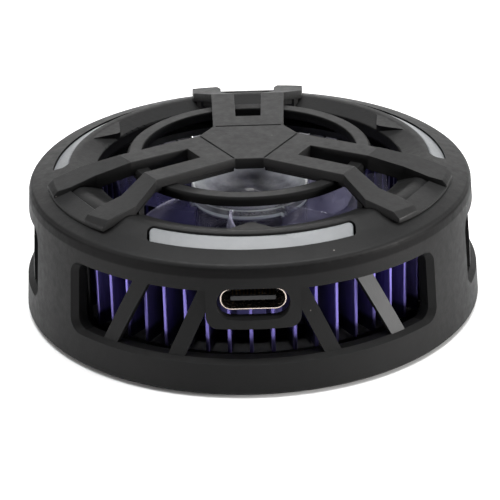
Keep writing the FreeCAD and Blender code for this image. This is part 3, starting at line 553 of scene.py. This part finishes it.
def stand_for(o, node, body):
    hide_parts(node)
    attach(o, body)


RING, SEAM_Z = (15.4, 17.6, 22.63), 23.93      # inner and outer radius and top of the ring, floor of the seams
grille = rounded("fan_guard", "guard_moulding", M["guard"], 0.13)
# painted shade: the ring is darker than the plate, darkest on its outer side
grille.data.materials.append(M["ring_painted_shade"])
grille.data.materials.append(M["ring_outer_painted_shade"])
for f in grille.data.polygons:
    c, n = f.center, f.normal
    r = math.hypot(c.x, c.y)
    if 0.0 < r and RING[0] * MM - 1e-4 < r < RING[1] * MM + 1e-4 and c.z < RING[2] * MM + 1e-5:
        f.material_index = 2 if (c.x * n.x + c.y * n.y) / r > 0.3 else 1
# the seams round the plate are shallow, with a rounded floor
for v in grille.data.vertices:
    if math.hypot(v.co.x, v.co.y) < 0.0085 and abs(v.co.z - SEAM_Z * MM) < 3e-5:
        v.co.z += 0.05 * MM
    v.co.z = min(v.co.z, cad_box[1][2])
stand_for(grille, "fan_guard", "housing")
case = rounded("housing_shell", "housing_moulding", M["housing"], 0.10)
# painted highlight: the outer bar on the right takes a lighter, glossier copy of the housing plastic on its face;
# painted shade: the wall's inner faces and the socket recess take the darker cover plastic
case.data.materials.append(M["bar_highlight"])
case.data.materials.append(M["dark_cover_and_shade"])
highlit = 0
for f in case.data.polygons:
    c, n = f.center, f.normal
    a = math.degrees(math.atan2(c.y, c.x))
    r = math.hypot(c.x, c.y)
    if (-63.0 < a < -50.0 and 0.0312 < r < 0.0321 and 0.0050 < c.z < 0.0156
            and (c.x * n.x + c.y * n.y) / r > 0.9 and abs(n.z) < 0.2):
        f.material_index = 1
        highlit += 1
    # painted shade: the wall's inner faces behind the windows take the darker cover plastic
    elif (0.0052 < c.z < 0.0168 and r < 0.03328 - 0.0743 * c.z - 0.00095
            and not (abs(c.x) < 0.0075 and c.y < -0.024)):
        f.material_index = 2
    # painted shade: so do the faces of the socket recess and its lip
    elif (abs(c.x) < 0.0059 and -0.0332 < c.y < -0.0308 and 0.0109 < c.z < 0.0166
            and r < 0.03328 - 0.0743 * c.z - 0.00008):
        f.material_index = 2
print("worn faces", highlit)
stand_for(case, "housing_shell", "housing")
for side in ("front", "right", "left"):
    stand_for(rounded("light_guide_" + side, "light_bar_" + side, M["guide"], 0.14, 3),
              "light_guide_" + side, "housing")

HUB_R, HUB_TOP, BLADE_TIP, BLADES = 8.2, 17.5, 20.4, 7
SECTIONS = ((7.6, -1.0, -21.0, 16.2, 9.8, 0.62), (11.5, 5.0, -17.0, 16.9, 8.9, 0.58),
            (14.5, 10.0, -13.0, 17.0, 8.6, 0.54), (17.5, 15.0, -9.0, 16.7, 8.5, 0.50),
            (20.9, 19.0, -3.0, 15.6, 9.2, 0.46))


def smooth_at(x, col):
    """Catmull-Rom value of a section column at radius x."""
    xs = [r[0] for r in SECTIONS]
    ys = [col(r) for r in SECTIONS]
    k = max(i for i in range(len(xs) - 1) if x >= xs[i] - 1e-9 or i == 0)
    m = []
    for i in range(len(xs)):
        a, b = max(i - 1, 0), min(i + 1, len(xs) - 1)
        m.append((ys[b] - ys[a]) / (xs[b] - xs[a]))
    h = xs[k + 1] - xs[k]
    t = (x - xs[k]) / h
    return (ys[k] * (2 * t ** 3 - 3 * t ** 2 + 1) + h * m[k] * (t ** 3 - 2 * t ** 2 + t)
            + ys[k + 1] * (-2 * t ** 3 + 3 * t ** 2) + h * m[k + 1] * (t ** 3 - t ** 2))


def blade_point(x, s, side):
    y0 = smooth_at(x, lambda r: r[0] * math.tan(math.radians(r[1])))
    y1 = smooth_at(x, lambda r: r[0] * math.tan(math.radians(r[2])))
    zt, zb, t = (smooth_at(x, lambda r, i=i: r[i]) for i in (3, 4, 5))
    n = math.hypot(zb - zt, y1 - y0)
    ny, nz = (zt - zb) / n, (y1 - y0) / n
    bow = 0.9 * math.sin(math.pi * min(max(s, 0.0), 1.0))
    return (y0 + (y1 - y0) * s + ny * (bow + side * t / 2), zt + (zb - zt) * s + nz * (bow + side * t / 2), n, t)


def blade_mesh(bm, az):
    """One blade with rounded edges and a tip that follows the fan's circle."""
    loop = []
    ns = 18
    for k in range(ns + 1):
        loop.append((k / ns, 1.0))
    for a in (45, 90, 135):
        loop.append((1.0, math.cos(math.radians(a)), math.sin(math.radians(a))))
    for k in range(ns, -1, -1):
        loop.append((k / ns, -1.0))
    for a in (45, 90, 135):
        loop.append((0.0, -math.cos(math.radians(a)), math.sin(math.radians(a))))
    nx = 26
    ends = []
    for item in loop:
        lo, hi = 15.0, 20.9
        for _ in range(30):
            mid = (lo + hi) / 2
            y = blade_point(mid, item[0], item[1])[0]
            if mid * mid + y * y < BLADE_TIP ** 2:
                lo = mid
            else:
                hi = mid
        ends.append(lo)
    c, sn = math.cos(math.radians(az)), math.sin(math.radians(az))
    rings = []
    for i in range(nx + 3):
        ring = []
        for q, item in enumerate(loop):
            u = min(i / nx, 1.0)
            thin = 1.0
            back = 0.0
            if i == nx - 0:
                thin, back = 0.92, 0.05
            if i == nx + 1:
                thin, back = 0.66, 0.012
            if i == nx + 2:
                thin, back = 0.25, 0.0
            x = 7.6 + (ends[q] - 7.6) * u - back
            s, side = item[0], item[1] * thin
            y, z, n, t = blade_point(x, s, side)
            if len(item) == 3:
                e = item[2] * t / 2 * thin * (1 if s > 0.5 else -1)
                y0, z0, _, _ = blade_point(x, 0.0, 0.0)
                y1, z1, _, _ = blade_point(x, 1.0, 0.0)
                y += (y1 - y0) / n * e
                z += (z1 - z0) / n * e
            ring.append(bm.verts.new((MM * (x * c - y * sn), MM * (x * sn + y * c), MM * z)))
        rings.append(ring)
    m = len(loop)
    for a, b in zip(rings, rings[1:]):
        for k in range(m):
            bm.faces.new((a[k], a[(k + 1) % m], b[(k + 1) % m], b[k]))
    bm.faces.new(rings[0][::-1])
    bm.faces.new(rings[-1])


def fillet(points, radii, steps=5):
    """Round the corners of an open line of (r, z) points."""
    out = [points[0]]
    for i in range(1, len(points) - 1):
        p, a, b = Vector(points[i]), Vector(points[i - 1]), Vector(points[i + 1])
        r = radii.get(i, 0.0)
        da, db = (a - p), (b - p)
        t = min(r, da.length * 0.45, db.length * 0.45)
        if t < 0.01:
            out.append(tuple(p))
            continue
        p0, p1 = p + da.normalized() * t, p + db.normalized() * t
        for k in range(steps + 1):
            w = k / steps
            q = p0 * (1 - w) ** 2 + p * (2 * w * (1 - w)) + p1 * w * w
            out.append(tuple(q))
    out.append(points[-1])
    return out


def revolve_mesh(bm, line, n=120):
    """Turn a line of (r, z) points that starts and ends on the axis."""
    first = bm.verts.new((0, 0, line[0][1] * MM))
    last = bm.verts.new((0, 0, line[-1][1] * MM))
    rings = []
    for r, z in line[1:-1]:
        rings.append([bm.verts.new((MM * r * math.cos(2 * math.pi * k / n), MM * r * math.sin(2 * math.pi * k / n), MM * z))
                      for k in range(n)])
    for k in range(n):
        q = (k + 1) % n
        bm.faces.new((first, rings[0][q], rings[0][k]))
        bm.faces.new((last, rings[-1][k], rings[-1][q]))
        for a, b in zip(rings, rings[1:]):
            bm.faces.new((a[k], a[q], b[q], b[k]))


def make_impeller():
    line = [(0.0, 14.4), (0.75, 14.4), (0.75, 12.2), (1.3, 12.2), (1.3, 13.0), (7.7, 13.0), (7.7, 8.0), (8.0, 8.0),
            (HUB_R, 8.3), (HUB_R, 14.9), (HUB_R + 0.3, 15.15), (HUB_R + 0.42, 15.5), (HUB_R + 0.36, 16.6),
            (HUB_R + 0.25, HUB_TOP - 0.15), (HUB_R + 0.1, HUB_TOP), (HUB_R - 0.2, HUB_TOP), (7.0, 16.1), (5.6, 15.3),
            (4.0, 15.0), (1.5, 15.0), (1.2, 15.9), (0.6, 16.05), (0.0, 16.05)]
    radii = {7: 0.1, 8: 0.15, 9: 0.3, 10: 0.25, 11: 0.4, 12: 0.5, 13: 0.15, 14: 0.12, 15: 0.15, 16: 1.2, 17: 1.0,
             18: 1.0, 19: 0.3, 20: 0.35, 21: 0.3}
    hub = bmesh.new()
    revolve_mesh(hub, fillet(line, radii))
    o = finish_mesh(hub, "clear_impeller", M["clear"], weighted=False)
    for i in range(BLADES):
        bl = bmesh.new()
        blade_mesh(bl, -109.5 + 360.0 / BLADES * i)
        # the wall over the rotor stays thin: nothing reaches inside it
        b = finish_mesh(bl, "blade_tmp_%d" % i, M["clear"], weighted=False)
        m = o.modifiers.new("u", "BOOLEAN")
        m.operation = "UNION"
        m.solver = "EXACT"
        m.object = b
        bake(o)
        bpy.data.objects.remove(b, do_unlink=True)
    m = o.modifiers.new("wn", "WEIGHTED_NORMAL")
    m.mode = "FACE_AREA_WITH_ANGLE"
    m.weight = 50
    m.keep_sharp = True
    bake(o)
    return o


stand_for(make_impeller(), "impeller", "rotor")
stand_for(rounded("usb_socket_shell", "socket_shell", M["usb"], 0.05, 2, merge=0.005), "usb_socket_shell", "housing")

# ---------------------------------------------------------------------------
# floor and light
# ---------------------------------------------------------------------------
bm = bmesh.new()
bmesh.ops.create_grid(bm, x_segments=1, y_segments=1, size=3.0)
me = bpy.data.meshes.new("floor")
bm.to_mesh(me)
bm.free()
floor = bpy.data.objects.new("floor", me)
floor.location = (0, 0, -0.00002)
scene.collection.objects.link(floor)
ft = Tree("pale_floor")
ft.principled(Base_Color=(0.95, 0.95, 0.95, 1.0), Roughness=0.85)
floor.data.materials.append(ft.mat)


def area(name, loc, target, size, power, color=(1, 1, 1)):
    d = bpy.data.lights.new(name, "AREA")
    d.shape = "RECTANGLE"
    d.size, d.size_y = size
    d.energy = power
    d.color = color
    o = bpy.data.objects.new(name, d)
    o.location = loc
    o.rotation_mode = "QUATERNION"
    o.rotation_quaternion = (Vector(target) - Vector(loc)).to_track_quat("-Z", "Y")
    scene.collection.objects.link(o)
    return o


area("overhead", (0.0, 0.06, 0.80), (0, 0, 0), (0.8, 0.5), 11.1, (0.995, 1.0, 1.0))
area("behind", (0.05, 0.60, 0.22), (0, 0, 0.01), (0.9, 0.16), 1.5, (1.0, 0.99, 0.98))
area("side_right", (0.66, -0.20, 0.12), (0, 0, 0.01), (0.28, 0.18), 7.6, (1.0, 0.98, 0.96))
area("low_left", (-0.50, -0.24, 0.07), (0, 0, 0.01), (0.18, 0.08), 1.4, (1.0, 0.98, 0.98))
area("side_left", (-0.75, -0.10, 0.30), (0, 0, 0.01), (0.35, 0.5), 0.4, (1.0, 0.95, 0.90))


def studio_world():
    w = bpy.data.worlds.new("studio")
    w.use_nodes = True
    t = w.node_tree
    bg = t.nodes["Background"]
    co = t.nodes.new("ShaderNodeTexCoord")
    sp = t.nodes.new("ShaderNodeSeparateXYZ")
    t.links.new(co.outputs["Generated"], sp.inputs[0])

    def step(src, a, b, lo, hi):
        m = t.nodes.new("ShaderNodeMapRange")
        m.interpolation_type = "SMOOTHSTEP"
        for k, v in (("From Min", a), ("From Max", b), ("To Min", lo), ("To Max", hi)):
            m.inputs[k].default_value = v
        t.links.new(src, m.inputs["Value"])
        return m.outputs["Result"]

    add = t.nodes.new("ShaderNodeMath")
    add.operation = "ADD"
    t.links.new(step(sp.outputs[1], -0.35, 0.9, 0.08, 0.175), add.inputs[0])
    t.links.new(step(sp.outputs[2], 0.35, 1.0, 0.0, 0.35), add.inputs[1])
    bg.inputs[0].default_value = (0.96, 0.98, 1.0, 1)
    t.links.new(add.outputs[0], bg.inputs[1])
    scene.world = w


studio_world()
scene.view_settings.view_transform = "Standard"
